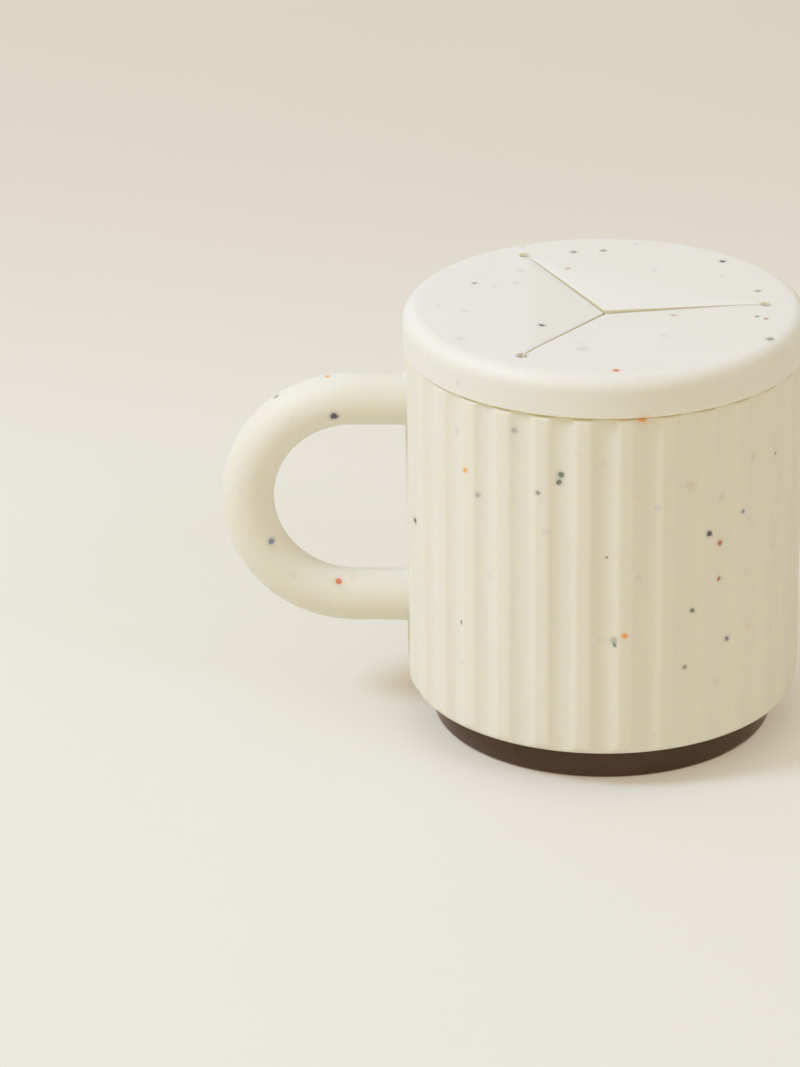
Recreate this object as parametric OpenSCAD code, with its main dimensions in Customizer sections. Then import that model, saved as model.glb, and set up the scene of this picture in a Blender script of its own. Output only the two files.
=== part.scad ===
// Snack cup for a toddler: a fluted silicone cup with a D handle, a soft foot,
// and a lid whose three flaps let a small hand in and close again behind it.
// Millimetres, +Z up. The origin is the middle of the face that the cup stands on.

/* [Cup] */
// Outer diameter of the cup, across its lands
cup_d = 79.4; // [78:0.2:80]
// Height of the cup's lower edge above the table
cup_z = 7.3; // [6:0.1:9]
// Height of the shoulder that the lid closes down to
shoulder_z = 79.1; // [74:0.1:84]
// Thickness of the cup's wall at its lands
wall = 3.8; // [3.4:0.1:4.2]
// Thickness of the cup's floor, over the foot's spigot
floor_t = 4; // [3.4:0.1:6]
// Rounding of the cup's lower edge
edge_r = 2.4; // [1:0.1:3]

/* [Flutes] */
// Number of flutes round the cup
flutes = 30; // [24:1:36]
// Depth of a flute below the lands
flute_depth = 0.7; // [0.4:0.05:1]
// Share of the pitch that a flute takes, the rest being its land
flute_share = 0.66; // [0.5:0.01:0.75]

/* [Handle] */
// Diameter of the handle's round section
handle_d = 10.6; // [8:0.1:12]
// Distance from the cup's axis to the outside of the handle
handle_reach = 77.1; // [74:0.1:84]
// Height of the upper bar's middle
handle_top = 67.5; // [62:0.1:68]
// Height of the lower bar's middle
handle_low = 24.5; // [20:0.1:28]

/* [Foot] */
// Diameter of the soft foot
foot_d = 68.8; // [62:0.2:72]
// Rounding of the foot's lower edge
foot_edge_r = 1; // [0.5:0.1:2]

/* [Lid] */
// Outer diameter of the lid
lid_d = 80; // [80:0.2:82]
// Depth of the lid from its top to the skirt's lower edge
lid_h = 8.3; // [8:0.05:10]
// Gap between the skirt's lower edge and the cup's shoulder
seam = 0.35; // [0.2:0.05:0.6]
// Rounding of the lid's top edge
lid_edge_r = 3; // [1:0.1:3.4]
// Thickness of the lid's top round the flaps
top_t = 2.2; // [1.8:0.1:2.6]

/* [Flaps] */
// Distance from the lid's middle to the end of each slit
slit_r = 32; // [28:0.5:32]
// Width of each slit
slit_w = 0.3; // [0.2:0.05:0.6]
// Diameter of the round hole that ends each slit
slit_hole_d = 2.6; // [2:0.1:3]
// Thickness of a flap
flap_t = 1.6; // [1.2:0.1:1.8]
// How far the flaps' tips hang below the lid's top
flap_drop = 2.5; // [0:0.1:3]

/* [Hidden] */
$fn = 96;

CREAM = [0.89, 0.87, 0.79];
LID_CREAM = [0.90, 0.89, 0.84];
BROWN = [0.29, 0.21, 0.15];

over = 1;              // how far a cutter runs past what it cuts
big = 200;             // side of a block that stands for a half space

// Cup
cup_r = cup_d / 2;
bore_r = cup_r - wall;
neck_r = cup_r - 1.8;
lid_top = shoulder_z + seam + lid_h;
plate_z = lid_top - top_t;
rim_z = plate_z - 0.2;
floor_z = cup_z + floor_t;
floor_fillet = 5;
shoulder_r = 0.8;
rim_r = 0.6;

// Flutes: each is cut by a cylinder that stands outside the cup
pitch = 360 / flutes;
flute_half = pitch * flute_share / 2;
flute_chord = cup_r * sin(flute_half);
flute_rise = cup_r * cos(flute_half) - (cup_r - flute_depth);
flute_r = (flute_chord * flute_chord + flute_rise * flute_rise) / (2 * flute_rise);

// Handle
handle_r = handle_d / 2;
bend_r = (handle_top - handle_low) / 2;
bend_x = -(handle_reach - handle_r - bend_r);
handle_z = (handle_top + handle_low) / 2;

// Foot
foot_r = foot_d / 2;
spigot_r = 30;
spigot_h = 1.5;
spigot_gap = 0.1;
tread_r = 28;
tread_w = 2.5;
tread_h = 0.8;

// Lid
lid_r = lid_d / 2;
skirt_z = shoulder_z + seam;
skirt_in = neck_r + 0.3;
skirt_lip_r = 0.4;
plug_r = bore_r - 0.6;
plug_in = plug_r - 1.5;
plug_h = 5;
bead_r = 0.3;

// Flaps: each folds about the straight line between two slit ends
turns = [60, 180, 300];
hinge_r = slit_r * cos(60);
half_chord = slit_r * sin(60);
droop = asin(flap_drop / hinge_r);
flap_len = hinge_r / cos(droop);
side_angle = atan2(half_chord, flap_len);
side_bevel = 20;       // the slits widen below, so that a lifted flap clears its neighbours
rim_relief = 15;       // the groove under a fold line: slope of its face on the rim
flap_relief = 58;      // and of its face on the flap
hinge_gap = 0.05;

// What a rounding of radius r takes off a profile's corner p; sx and sy point out of the corner
module corner_waste(p, r, sx, sy) {
    translate([p.x - sx * r, p.y - sy * r])
        difference() {
            translate([sx > 0 ? 0 : -r - over, sy > 0 ? 0 : -r - over]) square(r + over);
            circle(r = r);
        }
}

// A block whose face x = 0 leans by the angle; everything behind that face is inside
module half_space(lean) {
    rotate([0, lean, 0]) translate([-big, -big / 2, -big / 2]) cube(big);
}

// Places its children at the middle of a fold line, with -X towards the lid's middle
module at_fold(turn) {
    rotate([0, 0, turn]) translate([hinge_r, 0, lid_top]) children();
}

// The holes that end the slits
module slit_holes() {
    for (turn = turns)
        rotate([0, 0, turn - 60]) translate([slit_r, 0, plate_z - over])
            cylinder(d = slit_hole_d, h = top_t + 2 * over);
}

// The cup's outside as a solid form: lands, rounded lower edge, shoulder and neck
module cup_profile() {
    difference() {
        translate([0, cup_z]) square([cup_r, shoulder_z - cup_z]);
        corner_waste([cup_r, cup_z], edge_r, 1, -1);
        corner_waste([cup_r, shoulder_z], shoulder_r, 1, 1);
    }
    difference() {
        translate([0, cup_z + edge_r]) square([neck_r, rim_z - cup_z - edge_r]);
        corner_waste([neck_r, rim_z], rim_r, 1, 1);
    }
}

module flute_cutters() {
    for (i = [0 : flutes - 1])
        rotate([0, 0, (i + 0.5) * pitch]) translate([cup_r - flute_depth + flute_r, 0, cup_z - over])
            cylinder(r = flute_r, h = shoulder_z - cup_z + 2 * over);
}

module cup_form() {
    difference() {
        rotate_extrude() cup_profile();
        flute_cutters();
    }
}

// The room inside the cup, round at its floor and eased at the rim
module cup_room() {
    rotate_extrude() {
        difference() {
            translate([0, floor_z]) square([bore_r, rim_z + over - floor_z]);
            corner_waste([bore_r, floor_z], floor_fillet, 1, -1);
        }
        corner_waste([bore_r, rim_z], rim_r, -1, 1);
    }
}

module cup_body() {
    color(CREAM)
        difference() {
            cup_form();
            cup_room();
            translate([0, 0, cup_z - over])
                cylinder(r = spigot_r + spigot_gap, h = spigot_h + spigot_gap + over);
        }
}

// Two straight bars and a half ring, cut to the cup's fluted wall
module handle() {
    color(CREAM)
        difference() {
            union() {
                for (z = [handle_low, handle_top])
                    translate([bend_x, 0, z]) rotate([0, 90, 0])
                        cylinder(r = handle_r, h = -bend_x - bore_r);
                translate([bend_x, 0, handle_z]) rotate([90, 0, 0]) rotate([0, 0, 90])
                    rotate_extrude(angle = 180) translate([bend_r, 0]) circle(r = handle_r);
            }
            cup_form();
        }
}

// A flat foot with one tread groove below and a spigot above
module base_foot() {
    color(BROWN)
        rotate_extrude()
            difference() {
                union() {
                    square([foot_r, cup_z]);
                    square([spigot_r, cup_z + spigot_h]);
                }
                corner_waste([foot_r, 0], foot_edge_r, 1, -1);
                translate([tread_r, -over]) square([tread_w, tread_h + over]);
            }
}

module lid_profile() {
    difference() {
        translate([0, skirt_z]) square([lid_r, lid_h]);
        corner_waste([lid_r, lid_top], lid_edge_r, 1, 1);
        corner_waste([lid_r, skirt_z], skirt_lip_r, 1, -1);
        translate([0, skirt_z - over]) square([skirt_in, plate_z - skirt_z + over]);
    }
    translate([plug_in, plate_z - plug_h]) square([plug_r - plug_in, plug_h + over]);
    for (step = [1, 3])
        translate([plug_r, plate_z - plug_h * step / 4]) circle(r = bead_r);
}

// The three-cornered mouth that the flaps fill, its edges undercut along the fold lines
module mouth() {
    intersection() {
        translate([0, 0, plate_z - over]) cylinder(r = lid_r, h = top_t + 2 * over);
        at_fold(turns[0]) half_space(-rim_relief);
        at_fold(turns[1]) half_space(-rim_relief);
        at_fold(turns[2]) half_space(-rim_relief);
    }
}

module lid_rim() {
    color(LID_CREAM)
        difference() {
            rotate_extrude() lid_profile();
            mouth();
            slit_holes();
        }
}

// The inner side of one slit, as a half space in the flap's own plane
module slit_side() {
    translate([-flap_len, 0, 0]) rotate([0, 0, side_angle + 90]) translate([-slit_w / 2, 0, 0])
        half_space(side_bevel);
}

module flap(turn) {
    color(LID_CREAM)
        difference() {
            at_fold(turn) rotate([0, -droop, 0])
                intersection() {
                    translate([-flap_len - over, -half_chord - over, -flap_t])
                        cube([flap_len + over, 2 * (half_chord + over), flap_t]);
                    translate([-hinge_gap, 0, 0]) half_space(flap_relief);
                    slit_side();
                    mirror([0, 1, 0]) slit_side();
                }
            slit_holes();
        }
}

module flap_back() { flap(turns[0]); }
module flap_left() { flap(turns[1]); }
module flap_front() { flap(turns[2]); }

cup_body();
handle();
base_foot();
lid_rim();
flap_back();
flap_left();
flap_front();
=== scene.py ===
"""A toddler's snack cup: speckled cream silicone, a dark soft foot and a slit lid.

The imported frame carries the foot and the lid's ring, which this script dresses. It moulds
the cup and its handle in one, bends a smooth skin for each flap, and sets the floor, the
light and the camera. Lengths are metres, +Z is up, and the cup stands on z = 0.
"""
import math

import bmesh
import bpy
from mathutils import Matrix, Vector


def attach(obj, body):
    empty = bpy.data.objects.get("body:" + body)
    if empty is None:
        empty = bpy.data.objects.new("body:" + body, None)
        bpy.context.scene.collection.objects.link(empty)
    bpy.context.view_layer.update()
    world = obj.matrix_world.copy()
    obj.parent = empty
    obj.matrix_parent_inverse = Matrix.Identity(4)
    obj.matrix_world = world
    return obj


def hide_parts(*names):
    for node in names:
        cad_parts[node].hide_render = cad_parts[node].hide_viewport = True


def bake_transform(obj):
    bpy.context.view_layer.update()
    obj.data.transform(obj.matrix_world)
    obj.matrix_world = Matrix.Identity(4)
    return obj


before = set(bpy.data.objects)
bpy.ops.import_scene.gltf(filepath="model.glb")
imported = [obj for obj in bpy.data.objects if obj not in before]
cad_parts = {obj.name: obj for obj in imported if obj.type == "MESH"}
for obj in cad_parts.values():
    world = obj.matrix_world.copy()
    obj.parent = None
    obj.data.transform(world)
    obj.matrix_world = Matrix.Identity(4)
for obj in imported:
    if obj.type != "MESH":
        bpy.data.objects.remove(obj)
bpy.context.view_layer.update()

MM = 0.001

# The picture: where the camera stands, and what it looks at
PIVOT = Vector((0, 0, 43 * MM))
CAMERA_DISTANCE = 907 * MM
CAMERA_AZIMUTH = math.radians(0.5)
CAMERA_ELEVATION = math.radians(23.58)
CAMERA_ROLL = math.radians(0.73)
AIM = Vector((-41.1 * MM, 0, 37.9 * MM))
LENS_MM = 151.4
SENSOR_MM = 36

# The cup, its flutes and its handle
CUP_R = 39.7 * MM
CUP_LOW = 7.3 * MM
CUP_EDGE_R = 2.4 * MM
SHOULDER = 79.1 * MM
SEAM = 79.3 * MM           # height of the narrow gap between cup and lid
SHOULDER_R = 0.8 * MM
NECK_R = 37.9 * MM
RIM = 85.35 * MM
RIM_R = 0.6 * MM
BORE_R = 35.9 * MM
FLOOR = 11.3 * MM
FLOOR_FILLET = 5 * MM
RECESS_R = 30.1 * MM
RECESS_TOP = 8.9 * MM
FLUTES = 30
FLUTE_DEPTH = 0.8 * MM
FLUTE_SHARE = 0.66
LAND_EASE = 1.1 * MM       # rounding of the lands' edges
RUN_OUT = 0.4 * MM         # softness of a flute's end
HANDLE_R = 5.3 * MM
HANDLE_REACH = 77.1 * MM
HANDLE_TOP = 67.5 * MM
HANDLE_LOW = 24.5 * MM
HANDLE_FILLET = 0.8 * MM
ROOT_SINK = 0.05 * MM      # how far the fillet runs into the wall

# The lid's flaps
LID_TOP = 87.75 * MM
LID_EDGE_R = 3 * MM
SLIT_R = 32 * MM
SLIT_W = 0.3 * MM
HOLE_R = 1.3 * MM
FLAP_T = 1.6 * MM
FLAP_EDGE_R = 0.25 * MM
FLAP_EASE = 3.5 * MM       # stretch over which a flap leaves the lid's level
RIM_RELIEF = 15            # degrees by which the lid's edge is undercut along a fold
SLIT_LEAD = 60             # degrees from a flap's middle back to the slit beside it
FOLD_R = SLIT_R * math.cos(math.radians(SLIT_LEAD))
HALF_FOLD = SLIT_R * math.sin(math.radians(SLIT_LEAD))
FLAP_SPREAD = math.tan(math.radians(SLIT_LEAD))    # growth of a flap's half width towards its fold
FLAP_TURNS = {"flap_back": 60, "flap_left": 180, "flap_front": 300}
FLAP_DROPS = {"flap_back": 1.35 * MM, "flap_left": 1.95 * MM, "flap_front": 2.1 * MM}
REST_PLACE = "rest_place"

# How finely the skins are cut, and which of their edges look sharp
FLUTE_COLUMNS = 20
WALL_ROWS = 46
HANDLE_COLUMNS = 48
HANDLE_BEND_STEP = 4       # degrees
FILLET_ROWS = 8
FLAP_HOLE_ROWS = 8
FLAP_ROWS = 36
FLAP_COLUMNS = 12
SHARP_ANGLE = math.radians(40)


def linear(red, green, blue):
    """The linear colour of an sRGB colour given from 0 to 255."""
    def one(c):
        c = c / 255
        return c / 12.92 if c <= 0.04045 else ((c + 0.055) / 1.055) ** 2.4
    return (one(red), one(green), one(blue), 1)


CUP_CREAM = linear(231, 227, 212)
LID_CREAM = linear(232, 229, 218)
# painted glow: the light that comes through the silicone, painted on the faces in the slits and round
# their holes
SLIT_PAINTED_GLOW = linear(224, 213, 180)
HOLE_PAINTED_GLOW = linear(252, 246, 230)
# painted glow: the light that comes through the silicone at the seam, painted as a pale line
SEAM_PAINTED_GLOW = linear(248, 238, 204)
FOOT_BROWN = linear(71, 46, 31)
FOOT_LIGHTER = linear(80, 57, 42)
FLOOR_NEAR = linear(234, 231, 217)
# painted shade: the paper's colour darkens far behind the cup, where less light falls
FLOOR_FAR = linear(226, 219, 206)
FLOOR_SHADE = (0.66, 0.72, 0.77, 1)      # how much of the paper's colour the camera sees lit
FLOOR_GLOW = (0.27, 0.205, 0.145, 1)     # and what it sees in any light
# the darkening behind the cup is painted shade
FLOOR_FADE = (100 * MM, 370 * MM)        # how far behind the cup the paper darkens
FLOOR_HALF = 4                           # half the floor's side, in metres
NO_GLOW = (0, 0, 0, 1)

# The room's light: an even part, soft glows (direction, colour), and two lamps
ROOM_EVEN = (0.40, 0.31, 0.12, 1)
ROOM_GLOWS = {
    "overhead": ((0, 0, 1), (0.31, 0.48, 0.77, 1)),
    "left": ((-1, 0, 0.25), (0.22, 0.14, 0.07, 1)),
    "right": ((1, 0, 0.25), (0.14, 0.09, 0.05, 1)),
    "front": ((0, -1, 0.25), (0.34, 0.28, 0.13, 1)),
    "back": ((0, 1, 0.25), (0.18, 0.17, 0.12, 1)),
}
GLOW_SHARPNESS = 2
KEY_PLACE = (-0.74, -0.25, 0.83)
KEY_SIZE = 0.28
KEY_POWER = 6.9
KEY_COLOUR = (0.59, 0.71, 1.0)
FILL_PLACE = (0.68, -0.60, 0.84)
FILL_SIZE = 0.3
FILL_POWER = 1.4
FILL_COLOUR = (0.58, 0.60, 1.0)

# How light spreads inside the silicone, and how its colour varies
SOFTNESS = 0.5             # share of the light that spreads
SPREAD = 1.3 * MM
SPREAD_BY_COLOUR = (1.0, 0.75, 0.3)
NOISE_SPAN = (0.3, 0.7)    # between these values lies most of a noise
SPECK_WAVER = 0.6 * MM     # swing of the noise that makes the specks' edges ragged
WAVER_LUMP = 0.9 * MM      # and the size of its lumps
CUP_CLOUD = 18 * MM        # sizes of the patches in which a material's tone varies
FOOT_CLOUD = 9 * MM
PAPER_CLOUD = 60 * MM
# the seam's pale line is a painted glow
SEAM_BAND = (0.2 * MM, 0.3 * MM)    # how far off the seam its pale line begins to fade, and ends
UPRIGHT_FADE = (0.1, 0.45)          # upward share of a normal where a face stops being upright

# Colours of the specks in the silicone
NAVY = linear(60, 60, 80)
BLACK = linear(62, 56, 44)
BLUE = linear(124, 136, 164)
VIOLET = linear(134, 126, 152)
GREEN = linear(108, 120, 102)
GREY = linear(150, 147, 136)
ORANGE = linear(236, 168, 84)
RUST = linear(178, 98, 38)
FLAME = linear(214, 116, 52)
PINK = linear(206, 170, 152)
PALE = linear(186, 184, 176)

# What the strewn specks are made of: (share of the specks, colour)
SPECK_COLOURS = (
    (0.14, NAVY),
    (0.10, BLUE),
    (0.08, VIOLET),
    (0.16, GREEN),
    (0.14, GREY),
    (0.16, ORANGE),
    (0.10, RUST),
    (0.12, PINK),
)

# Layers of strewn specks, as speck_layer takes them
FAINT_SPECKS = {
    "cell": 5.6 * MM, "share": 0.40, "small": 0.8 * MM, "large": 1.6 * MM,
    "core": 0.12, "halo": 0.12, "shift": 0.113,
}
BOLD_SPECKS = {
    "cell": 5.0 * MM, "share": 0.36, "small": 0.6 * MM, "large": 1.3 * MM,
    "core": 0.85, "halo": 0.22, "shift": 0.271,
}
LINT = {
    "cell": 3.5 * MM, "share": 0.3, "small": 0.15 * MM, "large": 0.4 * MM,
    "core": 0.5, "halo": 0.1, "shift": 0.057,
}

# Where a speck's middle and its halo fade, in radii of the speck
STREWN_FADE = (0.7, 1.05)
STREWN_HALO_FADE = (0.7, 2.1)
PLACED_FADE = (0.65, 1.35)
PLACED_HALO_FADE = (0.8, 2.3)
PLACED_CORE = 0.9
PLACED_HALO = 0.25

# The boldest specks of the side that the picture shows, in millimetres:
# on the cup (degrees to the right of the front, height, radius, colour)
CUP_SPECKS = (
    (-74, 45.5, 0.55, BLACK), (-45.7, 30.8, 0.35, NAVY), (-43.2, 64.3, 0.55, ORANGE),
    (-38.8, 59.7, 0.5, PALE), (-26.5, 75.2, 0.6, PALE), (-19, 63.2, 0.45, GREY),
    (-12.6, 67.2, 0.6, GREEN), (-13.1, 65.6, 0.55, GREEN), (0.6, 50.2, 0.2, BLACK),
    (2.9, 32.6, 0.7, PALE), (3, 31.7, 0.35, GREEN), (5.8, 33.8, 0.6, ORANGE),
    (10.6, 79.3, 1.0, ORANGE), (24.1, 25.2, 0.45, GREY), (26.1, 37.2, 0.45, GREEN),
    (30.8, 53.2, 0.6, NAVY), (35.2, 50.2, 0.55, RUST), (35.2, 42.6, 0.45, RUST),
    (38.2, 29.2, 0.5, VIOLET), (42.7, 55.8, 0.45, BLUE), (59, 64.3, 0.4, GREY),
)
# on the handle (place, radius, colour)
HANDLE_SPECKS = (
    ((-53.8, -5.1, 65.6), 0.75, NAVY), ((-53.5, -3.5, 28.8), 0.7, FLAME),
    ((-67, -4.4, 38), 0.65, BLUE), ((-55.2, -0.4, 72.6), 0.6, ORANGE),
    ((-65.5, -0.5, 68), 0.6, GREY),
)
# on the lid's top (to the right of its middle, to the back, radius, colour)
LID_SPECKS = (
    (-26, 11.5, 0.5, GREY), (-12.3, -11, 0.65, NAVY), (-6.1, 29.5, 0.65, GREY),
    (-7.4, 20.1, 0.55, PINK), (-0.1, 30.4, 0.6, GREY), (2, -35.4, 0.65, FLAME),
    (13.5, -4.9, 0.8, PINK), (24, 24.2, 0.6, NAVY), (29.9, -6.8, 0.45, GREY),
    (30.5, 7.4, 0.55, GREY), (31.6, -7.9, 0.4, RUST), (31.8, -18.8, 0.75, GREY),
)


# Helpers for node trees

def new_material(name):
    material = bpy.data.materials.new(name)
    material.use_nodes = True
    tree = material.node_tree
    tree.nodes.clear()
    return material, tree


def add_node(tree, kind, **values):
    """A new node; values name its properties, or its input sockets if it has no such property."""
    node = tree.nodes.new(kind)
    for key, value in values.items():
        if hasattr(node, key):
            setattr(node, key, value)
        else:
            node.inputs[key.replace("_", " ")].default_value = value
    return node


def feed(tree, sockets, values):
    """Gives each input socket its value, or links it to the output given for it."""
    for socket, value in zip(sockets, values):
        if isinstance(value, bpy.types.NodeSocket):
            tree.links.new(value, socket)
        else:
            socket.default_value = value


def math_node(tree, operation, *values):
    node = add_node(tree, "ShaderNodeMath", operation=operation)
    feed(tree, node.inputs, values)
    return node.outputs[0]


def vector_node(tree, operation, *values):
    """A calculation with vectors. A distance, a length or a dot product is a number."""
    node = add_node(tree, "ShaderNodeVectorMath", operation=operation)
    feed(tree, node.inputs, values)
    gives_number = operation in ("DISTANCE", "LENGTH", "DOT_PRODUCT")
    return node.outputs["Value"] if gives_number else node.outputs["Vector"]


def split_axes(tree, vector):
    node = add_node(tree, "ShaderNodeSeparateXYZ")
    tree.links.new(vector, node.inputs[0])
    return node.outputs


def mix_colour(tree, share, a, b, blend="MIX"):
    node = add_node(tree, "ShaderNodeMix", data_type="RGBA", blend_type=blend)
    feed(tree, (node.inputs[0], node.inputs[6], node.inputs[7]), (share, a, b))
    return node.outputs[2]


def noise(tree, vector, size, detail=2.0, roughness=0.5):
    """Noise whose lumps are about the given size across, in metres."""
    node = add_node(tree, "ShaderNodeTexNoise", Scale=1 / size, Detail=detail, Roughness=roughness)
    tree.links.new(vector, node.inputs["Vector"])
    return node


def map_range(tree, value, from_min, from_max, to_min, to_max, smooth=False):
    node = add_node(tree, "ShaderNodeMapRange", From_Min=from_min, From_Max=from_max)
    node.inputs["To Min"].default_value = to_min
    node.inputs["To Max"].default_value = to_max
    node.interpolation_type = "SMOOTHSTEP" if smooth else "LINEAR"
    tree.links.new(value, node.inputs["Value"])
    return node.outputs["Result"]


def palette(tree, value):
    """A stepped ramp through the speck colours."""
    node = add_node(tree, "ShaderNodeValToRGB")
    ramp = node.color_ramp
    ramp.interpolation = "CONSTANT"
    start = 0
    for index, (share, colour) in enumerate(SPECK_COLOURS):
        stop = ramp.elements[0] if index == 0 else ramp.elements.new(start)
        stop.position = start
        stop.color = colour
        start += share
    ramp.elements.remove(ramp.elements[-1])
    tree.links.new(value, node.inputs["Fac"])
    return node.outputs["Color"]


def speck_layer(tree, place, base, cell, share, small, large, core, halo, shift, where=1):
    """Specks strewn through the material.

    One speck may lie in each cell of a jumbled grid, and the given share of the cells has
    one. It is a lump between small and large across. The core says how strongly its middle
    colours the base, and the halo how strongly the rest of it shows through from below.
    The shift, in metres, keeps one layer's grid off another's.
    """
    moved = vector_node(tree, "ADD", place, (shift, shift * 1.7, shift * 2.3))
    cells = add_node(tree, "ShaderNodeTexVoronoi", Scale=1 / cell)
    tree.links.new(moved, cells.inputs["Vector"])
    chance = add_node(tree, "ShaderNodeSeparateColor")
    tree.links.new(cells.outputs["Color"], chance.inputs[0])
    radius = map_range(tree, chance.outputs["Green"], 0, 1, small / cell / 2, large / cell / 2)
    reach = math_node(tree, "DIVIDE", cells.outputs["Distance"], radius)
    middle = map_range(tree, reach, *STREWN_FADE, core, 0, smooth=True)
    around = map_range(tree, reach, *STREWN_HALO_FADE, halo, 0, smooth=True)
    there = math_node(tree, "LESS_THAN", chance.outputs["Red"], share)
    there = math_node(tree, "MULTIPLY", there, where)
    cover = math_node(tree, "MULTIPLY", there, math_node(tree, "MAXIMUM", middle, around))
    return mix_colour(tree, cover, base, palette(tree, chance.outputs["Blue"]))


def placed_specks(tree, place, base, specks):
    """Specks at given places: (point, radius, colour), in metres."""
    for point, radius, colour in specks:
        reach = math_node(tree, "DIVIDE", vector_node(tree, "DISTANCE", place, point), radius)
        middle = map_range(tree, reach, *PLACED_FADE, PLACED_CORE, 0, smooth=True)
        around = map_range(tree, reach, *PLACED_HALO_FADE, PLACED_HALO, 0, smooth=True)
        base = mix_colour(tree, math_node(tree, "MAXIMUM", middle, around), base, colour)
    return base


def out_of_sight(tree, place):
    """One on the back of the object and inside it, where the picture shows no speck to follow."""
    axes = split_axes(tree, place)
    back = math_node(tree, "GREATER_THAN", axes["Y"], 0)
    below = math_node(tree, "LESS_THAN", axes["Z"], LID_TOP - LID_EDGE_R)
    return math_node(tree, "MULTIPLY", back, below)


def from_axis(tree, place):
    """A point's place seen from above, and its distance from the cup's axis."""
    across = vector_node(tree, "MULTIPLY", place, (1, 1, 0))
    return across, vector_node(tree, "LENGTH", across)


def near_slit_end(tree, across, turn, near, far, most):
    """The given amount near the hole that ends a slit, falling to nothing between two distances."""
    angle = math.radians(turn - SLIT_LEAD)
    end = (SLIT_R * math.cos(angle), SLIT_R * math.sin(angle), 0)
    return map_range(tree, vector_node(tree, "DISTANCE", across, end), near, far, most, 0, smooth=True)


def glow_off_folds(tree, place, weight):
    """How see-through the lid is: fully on its skirt and round the slits' ends, not across its folds."""
    across, length = from_axis(tree, place)
    share = map_range(tree, length, SLIT_R + 1 * MM, SLIT_R + 5 * MM, 0, weight, smooth=True)
    for turn in FLAP_TURNS.values():
        near = near_slit_end(tree, across, turn, HOLE_R, 2.2 * HOLE_R, weight)
        share = math_node(tree, "MAXIMUM", share, near)
    return share


def paint_slit_glow(tree, place, base):
    """Painted glow on the upright faces in the slits and their holes, standing in for the light that
    comes through the lid.
    """
    normal = add_node(tree, "ShaderNodeTexCoord").outputs["Normal"]
    lean = math_node(tree, "ABSOLUTE", split_axes(tree, normal)["Z"])
    side = map_range(tree, lean, *UPRIGHT_FADE, 1, 0, smooth=True)
    across, length = from_axis(tree, place)
    inside = map_range(tree, length, SLIT_R + 2 * MM, SLIT_R + 3 * MM, 1, 0)
    base = mix_colour(tree, math_node(tree, "MULTIPLY", side, inside), base, SLIT_PAINTED_GLOW)
    for turn in FLAP_TURNS.values():
        near = near_slit_end(tree, across, turn, 1.15 * HOLE_R, 1.5 * HOLE_R, 1)
        base = mix_colour(tree, math_node(tree, "MULTIPLY", side, near), base, HOLE_PAINTED_GLOW)
    return base


def showing_ray(tree):
    """One for a ray that shows a thing: from the camera, mirrored, or let through."""
    ray = add_node(tree, "ShaderNodeLightPath")
    shows = math_node(tree, "MAXIMUM", ray.outputs["Is Camera Ray"], ray.outputs["Is Glossy Ray"])
    return math_node(tree, "MAXIMUM", shows, ray.outputs["Is Transmission Ray"])


def ragged_place(tree, place):
    """The place, strayed a little by a fine noise, so that a speck's edge looks ragged."""
    lumps = noise(tree, place, WAVER_LUMP, detail=1)
    swing = vector_node(tree, "SUBTRACT", lumps.outputs["Color"], (0.5, 0.5, 0.5))
    return vector_node(tree, "MULTIPLY_ADD", swing, 3 * (SPECK_WAVER,), place)


def paint_seam_glow(tree, place, base):
    """A painted glow along the line where the lid meets the cup, for the light that comes through the
    silicone there.
    """
    above_seam = math_node(tree, "SUBTRACT", split_axes(tree, place)["Z"], SEAM)
    off_seam = math_node(tree, "ABSOLUTE", above_seam)
    seam_glow_share = map_range(tree, off_seam, *SEAM_BAND, 1, 0)
    return mix_colour(tree, seam_glow_share, base, SEAM_PAINTED_GLOW)


def matt_surface(tree, place, shader, cloud, grain_size, strength, depth):
    """Gives a shader an uneven matt gloss and a fine grain, and makes it the material's surface."""
    gloss = map_range(tree, cloud.outputs["Fac"], *NOISE_SPAN, 0.5, 0.6)
    tree.links.new(gloss, shader.inputs["Roughness"])
    grain = noise(tree, place, grain_size, detail=2, roughness=0.6)
    bump = add_node(tree, "ShaderNodeBump", Strength=strength, Distance=depth)
    tree.links.new(grain.outputs["Fac"], bump.inputs["Height"])
    tree.links.new(bump.outputs["Normal"], shader.inputs["Normal"])
    show_surface(tree, shader)


def show_surface(tree, shader):
    out = add_node(tree, "ShaderNodeOutputMaterial")
    tree.links.new(shader.outputs[0], out.inputs["Surface"])


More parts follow.
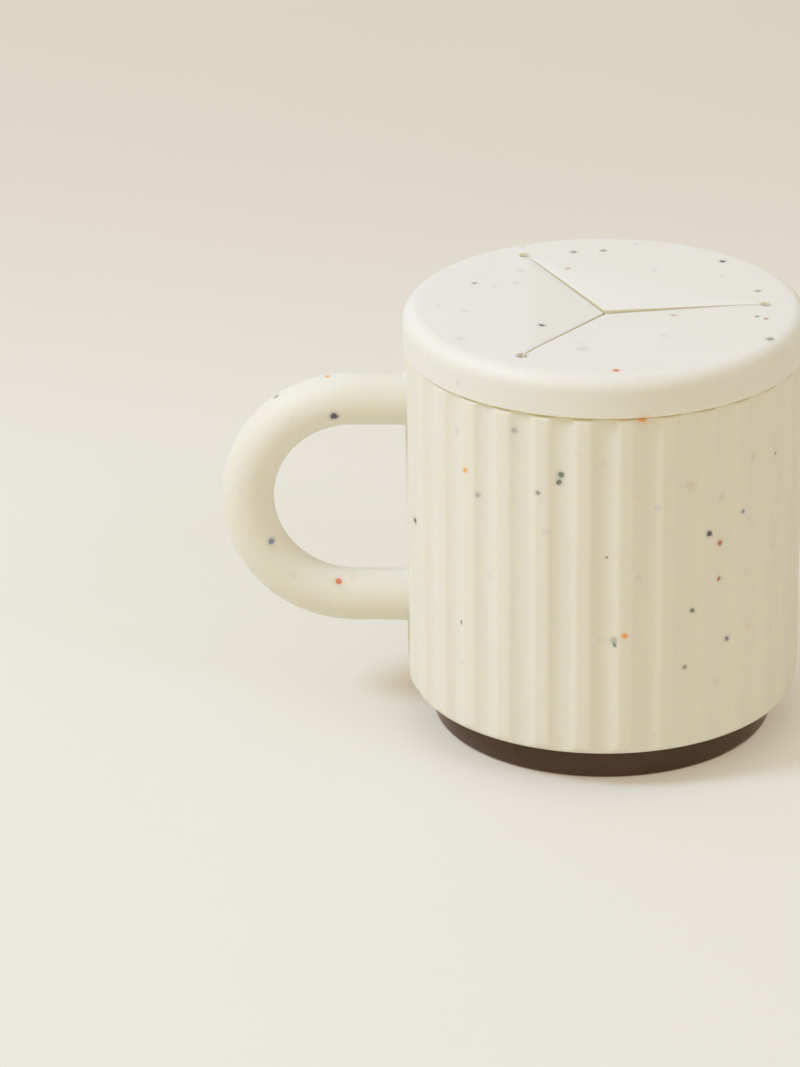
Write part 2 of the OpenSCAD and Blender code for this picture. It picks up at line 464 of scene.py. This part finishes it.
def silicone(name, colour, specks, folds=False, bends=False):
    """Soft matte silicone with coloured specks in it, a little see-through.

    On a piece that bends, the specks follow its points' places at rest.
    """
    material, tree = new_material(name)
    if bends:
        place = add_node(tree, "ShaderNodeAttribute", attribute_name=REST_PLACE).outputs["Vector"]
    else:
        place = add_node(tree, "ShaderNodeTexCoord").outputs["Object"]
    cloud = noise(tree, place, CUP_CLOUD, detail=3)
    tone = map_range(tree, cloud.outputs["Fac"], *NOISE_SPAN, 0.985, 1.0)
    body = mix_colour(tree, 1.0, colour, tone, blend="MULTIPLY")
    spot = ragged_place(tree, place)
    body = speck_layer(tree, spot, body, **FAINT_SPECKS)
    body = speck_layer(tree, spot, body, **BOLD_SPECKS, where=out_of_sight(tree, place))
    # a painted glow along the seam
    body = paint_seam_glow(tree, place, body)
    body = placed_specks(tree, spot, body, specks)
    shader = add_node(tree, "ShaderNodeBsdfPrincipled")
    shader.inputs["IOR"].default_value = 1.41
    shader.inputs["Subsurface Weight"].default_value = SOFTNESS
    shader.inputs["Subsurface Radius"].default_value = SPREAD_BY_COLOUR
    shader.inputs["Subsurface Scale"].default_value = SPREAD
    if folds:
        # painted glow on the faces in the slits and round their holes
        body = paint_slit_glow(tree, place, body)
        tree.links.new(glow_off_folds(tree, place, SOFTNESS), shader.inputs["Subsurface Weight"])
    shader.inputs["Sheen Weight"].default_value = 0.05
    shader.inputs["Sheen Roughness"].default_value = 0.6
    tree.links.new(body, shader.inputs["Base Color"])
    matt_surface(tree, place, shader, cloud, grain_size=0.25 * MM, strength=0.25, depth=0.02 * MM)
    return material


def foot_silicone(name):
    """The foot's dark, close and opaque silicone."""
    material, tree = new_material(name)
    place = add_node(tree, "ShaderNodeTexCoord").outputs["Object"]
    cloud = noise(tree, place, FOOT_CLOUD, detail=4)
    share = map_range(tree, cloud.outputs["Fac"], *NOISE_SPAN, 0, 1)
    body = mix_colour(tree, share, FOOT_BROWN, FOOT_LIGHTER)
    shader = add_node(tree, "ShaderNodeBsdfPrincipled")
    shader.inputs["IOR"].default_value = 1.43
    shader.inputs["Sheen Weight"].default_value = 0.8
    shader.inputs["Sheen Roughness"].default_value = 0.35
    shader.inputs["Sheen Tint"].default_value = (1.0, 0.84, 0.70, 1)
    body = speck_layer(tree, place, body, **LINT)
    tree.links.new(body, shader.inputs["Base Color"])
    matt_surface(tree, place, shader, cloud, grain_size=0.3 * MM, strength=0.4, depth=0.03 * MM)
    return material


def floor_paper(name):
    """Pale matt paper, with painted shade that makes it a little darker far behind the cup.

    The camera sees its shadows lifted by a faint glow of the paper's own, as in the picture.
    """
    material, tree = new_material(name)
    place = add_node(tree, "ShaderNodeTexCoord").outputs["Object"]
    # painted shade darkening the paper far behind the cup
    far = map_range(tree, split_axes(tree, place)["Y"], *FLOOR_FADE, 0, 1, smooth=True)
    colour = mix_colour(tree, far, FLOOR_NEAR, FLOOR_FAR)
    cloud = noise(tree, place, PAPER_CLOUD, detail=3)
    tone = map_range(tree, cloud.outputs["Fac"], *NOISE_SPAN, 0.992, 1.0)
    colour = mix_colour(tree, 1.0, colour, tone, blend="MULTIPLY")
    seen = showing_ray(tree)
    shaded = mix_colour(tree, 1.0, colour, FLOOR_SHADE, blend="MULTIPLY")
    colour = mix_colour(tree, seen, colour, shaded)
    glow = mix_colour(tree, seen, NO_GLOW, FLOOR_GLOW)
    shader = add_node(tree, "ShaderNodeBsdfPrincipled", Roughness=0.9)
    shader.inputs["Specular IOR Level"].default_value = 0.1
    shader.inputs["Emission Strength"].default_value = 1
    tree.links.new(colour, shader.inputs["Base Color"])
    tree.links.new(glow, shader.inputs["Emission Color"])
    show_surface(tree, shader)
    return material


def wear(obj, material):
    """Gives every material slot of an object this material."""
    if not obj.data.materials:
        obj.data.materials.append(material)
    for index in range(len(obj.data.materials)):
        obj.data.materials[index] = material


# The cup and its handle, one moulding

def circle_hit(centre, radius, direction, far):
    """How far along a ray from the axis a circle is met."""
    along = centre.dot(direction)
    half = math.sqrt(radius * radius - centre.length_squared + along * along)
    return along + half if far else along - half


def flute_outline():
    """The inset of the fluted wall from its lands, as a function of the angle in radians."""
    half_pitch = math.pi / FLUTES
    half = half_pitch * FLUTE_SHARE
    rise = CUP_R * math.cos(half) - (CUP_R - FLUTE_DEPTH)
    flute_r = ((CUP_R * math.sin(half)) ** 2 + rise * rise) / (2 * rise)
    flute_at = CUP_R - FLUTE_DEPTH + flute_r
    ease_at = CUP_R - LAND_EASE
    reach = flute_r + LAND_EASE
    ease_angle = math.acos((ease_at ** 2 + flute_at ** 2 - reach ** 2) / (2 * ease_at * flute_at))
    flute_centre = Vector((flute_at, 0))
    ease_centre = ease_at * Vector((math.cos(ease_angle), math.sin(ease_angle)))
    meet = flute_centre + (ease_centre - flute_centre) * flute_r / reach
    meet_angle = math.atan2(meet.y, meet.x)

    def inset(angle):
        off = angle % (2 * half_pitch)
        off = abs(off - half_pitch)
        ray = Vector((math.cos(off), math.sin(off)))
        if off >= ease_angle:
            return 0
        if off >= meet_angle:
            return CUP_R - circle_hit(ease_centre, LAND_EASE, ray, far=True)
        return CUP_R - circle_hit(flute_centre, flute_r, ray, far=False)

    return inset


def smooth_max(a, b, ease):
    """The greater of two lengths, with a soft change between them."""
    if ease <= 0:
        return max(a, b)
    blend = max(ease - abs(a - b), 0) / ease
    return max(a, b) + blend * blend * ease / 4


def arc(centre_r, centre_z, radius, start, end, steps):
    """Points along a rounding, by its angles in degrees."""
    points = []
    for step in range(steps + 1):
        angle = math.radians(start + (end - start) * step / steps)
        points.append((centre_r + radius * math.cos(angle), centre_z + radius * math.sin(angle)))
    return points


def cup_section():
    """The cup's section, from the middle of the recess below, round its wall, to the floor within."""
    wall_low = CUP_LOW + CUP_EDGE_R
    wall_high = SHOULDER - SHOULDER_R
    section = [(0, RECESS_TOP), (RECESS_R, RECESS_TOP), (RECESS_R, CUP_LOW)]
    section += arc(CUP_R - CUP_EDGE_R, wall_low, CUP_EDGE_R, -90, 0, steps=12)
    for step in range(1, WALL_ROWS):
        section.append((CUP_R, wall_low + (wall_high - wall_low) * step / WALL_ROWS))
    section += arc(CUP_R - SHOULDER_R, wall_high, SHOULDER_R, 0, 90, steps=6)
    section += [((CUP_R - SHOULDER_R + NECK_R) / 2, SHOULDER), (NECK_R, SHOULDER)]
    section += arc(NECK_R - RIM_R, RIM - RIM_R, RIM_R, 0, 90, steps=4)
    section += arc(BORE_R + RIM_R, RIM - RIM_R, RIM_R, 90, 180, steps=4)
    section += [(BORE_R, (RIM + FLOOR) / 2)]
    section += arc(BORE_R - FLOOR_FILLET, FLOOR + FLOOR_FILLET, FLOOR_FILLET, 0, -90, steps=8)
    section += [(0, FLOOR)]
    return section


def loft(rings, closed_ends):
    """Points and faces of a skin through rings of equal count; an end ring of one point is a pole."""
    points = []
    starts = []
    for ring in rings:
        starts.append(len(points))
        points += ring
    faces = []
    for index in range(len(rings) - 1):
        a = starts[index]
        b = starts[index + 1]
        count = max(len(rings[index]), len(rings[index + 1]))
        for column in range(count):
            after = (column + 1) % count
            if len(rings[index]) == 1:
                faces.append((a, b + column, b + after))
            elif len(rings[index + 1]) == 1:
                faces.append((a + after, a + column, b))
            else:
                faces.append((a + column, b + column, b + after, a + after))
    if closed_ends:
        faces.append(tuple(range(starts[0], starts[1])))
        faces.append(tuple(range(len(points) - 1, starts[-1] - 1, -1)))
    return points, faces


def mesh_object(name, points, faces):
    mesh = bpy.data.meshes.new(name)
    mesh.from_pydata(points, [], faces)
    work = bmesh.new()
    work.from_mesh(mesh)
    bmesh.ops.recalc_face_normals(work, faces=work.faces)
    work.to_mesh(mesh)
    work.free()
    piece = bpy.data.objects.new(name, mesh)
    bpy.context.collection.objects.link(piece)
    return piece


def cup_wall(inset):
    """The cup as a turned form whose outside is fluted."""
    columns = FLUTES * FLUTE_COLUMNS
    rings = []
    for radius, z in cup_section():
        if radius == 0:
            rings.append([(0, 0, z)])
            continue
        above = radius > NECK_R and CUP_LOW < z
        below = radius > RECESS_R and z <= CUP_LOW + CUP_EDGE_R
        outside = above or below
        ring = []
        for column in range(columns):
            angle = 2 * math.pi * column / columns
            r = radius
            if outside:
                back = CUP_R - radius
                r = CUP_R - smooth_max(inset(angle), back, min(RUN_OUT, 2 * back))
            ring.append((r * math.cos(angle), r * math.sin(angle), z))
        rings.append(ring)
    return mesh_object("cup_moulding", *loft(rings, closed_ends=False))


def handle_form(inset):
    """The D handle: a round bar whose roots spread into the fluted wall."""
    bend_r = (HANDLE_TOP - HANDLE_LOW) / 2
    bend_x = -(HANDLE_REACH - HANDLE_R - bend_r)
    middle = (HANDLE_TOP + HANDLE_LOW) / 2

    def root_ring(z, side, out):
        """A ring of a bar at the given distance out from the wall."""
        near = min(max(out + ROOT_SINK, 0), HANDLE_FILLET)
        spread = HANDLE_FILLET - math.sqrt(HANDLE_FILLET ** 2 - (HANDLE_FILLET - near) ** 2)
        radius = HANDLE_R + spread
        ring = []
        for column in range(HANDLE_COLUMNS):
            angle = 2 * math.pi * column / HANDLE_COLUMNS
            y = radius * math.cos(angle)
            wall = CUP_R - inset(math.pi - math.asin(y / CUP_R))
            ring.append((-math.sqrt(wall * wall - y * y) - out, y, z + side * radius * math.sin(angle)))
        return ring

    def bend_ring(turn):
        """A ring of the bend, turn degrees on from the upper bar."""
        lean = math.radians(turn)
        ring = []
        for column in range(HANDLE_COLUMNS):
            angle = 2 * math.pi * column / HANDLE_COLUMNS
            off = bend_r + HANDLE_R * math.sin(angle)
            y = HANDLE_R * math.cos(angle)
            ring.append((bend_x - off * math.sin(lean), y, middle + off * math.cos(lean)))
        return ring

    outs = [-1 * MM]
    for step in range(FILLET_ROWS + 1):
        outs.append(HANDLE_FILLET * (1 - math.cos(math.radians(90 * step / FILLET_ROWS))) - ROOT_SINK)
    outs += [3 * MM, 6 * MM, 9 * MM]
    rings = [root_ring(HANDLE_TOP, 1, out) for out in outs]
    rings += [bend_ring(turn) for turn in range(0, 181, HANDLE_BEND_STEP)]
    rings += [root_ring(HANDLE_LOW, -1, out) for out in reversed(outs)]
    return mesh_object("handle_form", *loft(rings, closed_ends=True))


def cup_moulding(material):
    """The cup and its handle, joined as they are moulded."""
    inset = flute_outline()
    cup = cup_wall(inset)
    handle = handle_form(inset)
    join = cup.modifiers.new("join", "BOOLEAN")
    join.operation = "UNION"
    join.solver = "EXACT"
    join.object = handle
    shape = cup.evaluated_get(bpy.context.evaluated_depsgraph_get())
    joined = bpy.data.meshes.new_from_object(shape)
    cup.modifiers.clear()
    cup.data = joined
    bpy.data.objects.remove(handle)
    for face in joined.polygons:
        face.use_smooth = True
    joined.set_sharp_from_angle(angle=SHARP_ANGLE)
    wear(cup, material)
    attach(cup, "cup")
    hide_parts("cup_body", "handle")


# The flaps' skins

def flap_height(s, drop):
    """The height of the flap's top over the lid's top, s metres in from the fold: none or less."""
    run = s - FLAP_EASE / 2 if s > FLAP_EASE else s * s / (2 * FLAP_EASE)
    return -drop * run / (FOLD_R - FLAP_EASE / 2)


def flap_half_width(s):
    """Half the flap's width, s metres in from the fold: the slit's edge or the hole's."""
    at_slit = (FOLD_R - s) * FLAP_SPREAD - SLIT_W
    if s >= HOLE_R:
        return at_slit
    return min(at_slit, HALF_FOLD - math.sqrt(HOLE_R * HOLE_R - s * s))


def flap_rows():
    """Distances in from the fold, closer together round the slit-end holes."""
    hole_rows = [HOLE_R * step / FLAP_HOLE_ROWS for step in range(FLAP_HOLE_ROWS)]
    tip_half = 0.2 * FLAP_EDGE_R
    tip = FOLD_R - (SLIT_W + FLAP_EDGE_R + tip_half) / FLAP_SPREAD
    rest = [HOLE_R + (tip - HOLE_R) * step / FLAP_ROWS for step in range(FLAP_ROWS + 1)]
    return hole_rows + rest


def flap_ring(s, drop):
    """The flap's section s metres in from the fold: a flat sheet whose upper edges are rounded."""
    half = flap_half_width(s)
    top = LID_TOP + flap_height(s, drop)
    across = half - FLAP_EDGE_R
    ring = arc(-across, top - FLAP_EDGE_R, FLAP_EDGE_R, 180, 90, steps=4)
    for step in range(1, FLAP_COLUMNS):
        ring.append((across * (2 * step / FLAP_COLUMNS - 1), top))
    ring += arc(across, top - FLAP_EDGE_R, FLAP_EDGE_R, 90, 0, steps=4)
    for step in range(FLAP_COLUMNS + 1):
        ring.append((half * (1 - 2 * step / FLAP_COLUMNS), top - FLAP_T))
    return ring


def flap_skin(node, turn, drop, material):
    """One flap as a soft sheet that leaves the lid's top level and sags to its tip."""
    inward = Matrix.Rotation(math.radians(turn), 4, "Z")
    rings = []
    for row, s in enumerate(flap_rows()):
        ring = []
        for across, z in flap_ring(s, drop):
            # below the fold the sheet fills the groove under the lid's edge
            out = (LID_TOP - z) * math.tan(math.radians(RIM_RELIEF)) if row == 0 else 0
            ring.append(tuple(inward @ Vector((FOLD_R - s + out, across, z))))
        rings.append(ring)
    skin = mesh_object(node + "_skin", *loft(rings, closed_ends=True))
    mesh = skin.data
    rest = mesh.attributes.new(REST_PLACE, "FLOAT_VECTOR", "POINT")
    for vertex in mesh.vertices:
        rest.data[vertex.index].vector = vertex.co
    for face in mesh.polygons:
        face.use_smooth = True
    mesh.set_sharp_from_angle(angle=SHARP_ANGLE)
    wear(skin, material)
    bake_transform(skin)
    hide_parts(node)


# Stage, light and camera

def add_floor():
    mesh = bpy.data.meshes.new("floor")
    side = FLOOR_HALF
    corners = [(-side, -side, 0), (side, -side, 0), (side, side, 0), (-side, side, 0)]
    mesh.from_pydata(corners, [], [(0, 1, 2, 3)])
    floor = bpy.data.objects.new("floor", mesh)
    bpy.context.collection.objects.link(floor)
    wear(floor, floor_paper("floor_paper"))


def add_lamp(name, place, size, power, colour):
    data = bpy.data.lights.new(name, "AREA")
    data.shape = "DISK"
    data.size = size
    data.energy = power
    data.color = colour
    lamp = bpy.data.objects.new(name, data)
    lamp.location = place
    aim = PIVOT - Vector(place)
    lamp.rotation_euler = aim.to_track_quat("-Z", "Y").to_euler()
    bpy.context.collection.objects.link(lamp)


def add_world():
    world = bpy.data.worlds.new("room")
    bpy.context.scene.world = world
    world.use_nodes = True
    tree = world.node_tree
    tree.nodes.clear()
    look = add_node(tree, "ShaderNodeTexCoord").outputs["Generated"]
    light = ROOM_EVEN
    for direction, colour in ROOM_GLOWS.values():
        facing = vector_node(tree, "DOT_PRODUCT", look, Vector(direction).normalized())
        part = math_node(tree, "MAXIMUM", facing, 0)
        part = math_node(tree, "POWER", part, GLOW_SHARPNESS)
        glow = mix_colour(tree, part, NO_GLOW, colour)
        light = mix_colour(tree, 1.0, light, glow, blend="ADD")
    room = add_node(tree, "ShaderNodeBackground", Strength=1)
    tree.links.new(light, room.inputs["Color"])
    seen = add_node(tree, "ShaderNodeBackground", Color=FLOOR_FAR, Strength=1)
    mix = add_node(tree, "ShaderNodeMixShader")
    tree.links.new(showing_ray(tree), mix.inputs[0])
    tree.links.new(room.outputs[0], mix.inputs[1])
    tree.links.new(seen.outputs[0], mix.inputs[2])
    out = add_node(tree, "ShaderNodeOutputWorld")
    tree.links.new(mix.outputs[0], out.inputs["Surface"])


def add_camera():
    level = math.cos(CAMERA_ELEVATION)
    back = Vector((
        -math.sin(CAMERA_AZIMUTH) * level,
        -math.cos(CAMERA_AZIMUTH) * level,
        math.sin(CAMERA_ELEVATION),
    ))
    place = PIVOT + CAMERA_DISTANCE * back
    forward = (AIM - place).normalized()
    right = forward.cross(Vector((0, 0, 1))).normalized()
    up = right.cross(forward)
    tilted = right * math.cos(CAMERA_ROLL) - up * math.sin(CAMERA_ROLL)
    upright = right * math.sin(CAMERA_ROLL) + up * math.cos(CAMERA_ROLL)
    data = bpy.data.cameras.new("camera")
    data.sensor_width = SENSOR_MM
    data.lens = LENS_MM
    camera = bpy.data.objects.new("camera", data)
    turn = Matrix((tilted, upright, -forward)).transposed().to_4x4()
    camera.matrix_world = Matrix.Translation(place) @ turn
    bpy.context.collection.objects.link(camera)
    bpy.context.scene.camera = camera


def speck_places():
    """The placed specks of the cup with its handle, and of the lid, in metres.

    A speck that lies across the seam is on both.
    """
    inset = flute_outline()
    cup = []
    for turn, height, radius, colour in CUP_SPECKS:
        angle = math.radians(turn)
        out = CUP_R - inset(angle - math.pi / 2)
        point = (out * math.sin(angle), -out * math.cos(angle), height * MM)
        cup.append((point, radius * MM, colour))
    seam = [speck for speck in cup if abs(speck[0][2] - SEAM) < 1 * MM]
    for point, radius, colour in HANDLE_SPECKS:
        cup.append((tuple(c * MM for c in point), radius * MM, colour))
    lid = [((x * MM, y * MM, LID_TOP), radius * MM, colour) for x, y, radius, colour in LID_SPECKS]
    return cup, lid + seam


def main():
    for name in ("Cube", "Light", "Camera"):
        if name in bpy.data.objects:
            bpy.data.objects.remove(bpy.data.objects[name])
    cup_specks, lid_specks = speck_places()
    cup = silicone("cup_silicone_speckled", CUP_CREAM, cup_specks)
    lid = silicone("lid_silicone_speckled", LID_CREAM, lid_specks, folds=True)
    flap = silicone("flap_silicone_speckled", LID_CREAM, lid_specks, folds=True, bends=True)
    foot = foot_silicone("foot_silicone_brown")
    cup_moulding(cup)
    wear(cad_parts["base_foot"], foot)
    wear(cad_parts["lid_rim"], lid)
    for node, turn in FLAP_TURNS.items():
        flap_skin(node, turn, FLAP_DROPS[node], flap)
    add_floor()
    add_world()
    add_lamp("key", KEY_PLACE, KEY_SIZE, KEY_POWER, KEY_COLOUR)
    add_lamp("fill", FILL_PLACE, FILL_SIZE, FILL_POWER, FILL_COLOUR)
    add_camera()
    bpy.context.scene.view_settings.view_transform = "Standard"


main()
